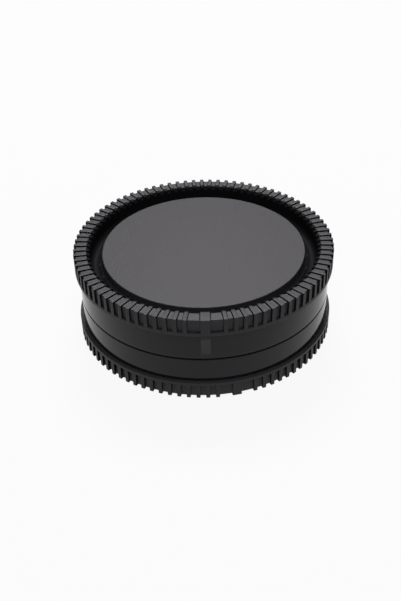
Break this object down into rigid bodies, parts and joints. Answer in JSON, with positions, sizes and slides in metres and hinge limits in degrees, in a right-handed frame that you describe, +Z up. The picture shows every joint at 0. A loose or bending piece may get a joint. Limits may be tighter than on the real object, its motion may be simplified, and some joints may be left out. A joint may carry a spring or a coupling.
{
  "type": "camera body cap",
  "caption": "Round moulded bayonet cap with a knurled rim, a grooved face and an index rib, locked face to face with its mating rear lens cap.",
  "frame": {"origin": "on the caps' common axis, at the height of the floor, under the centre of the rear cap's ribs", "axes": "+Z up along the axis, out of the body cap's face; -Y is the front, where the body cap's index rib is"},
  "size_m": [0.062, 0.062, 0.0219],
  "materials": {
    "body_cap_abs": "black moulded ABS, fine spark-eroded matt on the face and ribs, polished on the skirt and in the groove",
    "rear_cap_abs": "black moulded ABS, fine spark-eroded matt on the face and ribs, polished on the skirt and in the groove"
  },
  "bodies": {
    "rear_cap": {"rear_cap": "rear_cap_abs"},
    "body_cap": {"body_cap": "body_cap_abs"}
  },
  "joints": [
    {"name": "bayonet_twist", "type": "hinge", "parent": "rear_cap", "child": "body_cap", "pos_m": [0, 0, 0.0106], "axis": [0, 0, 1], "range_deg": [0, 60]}
  ]
}
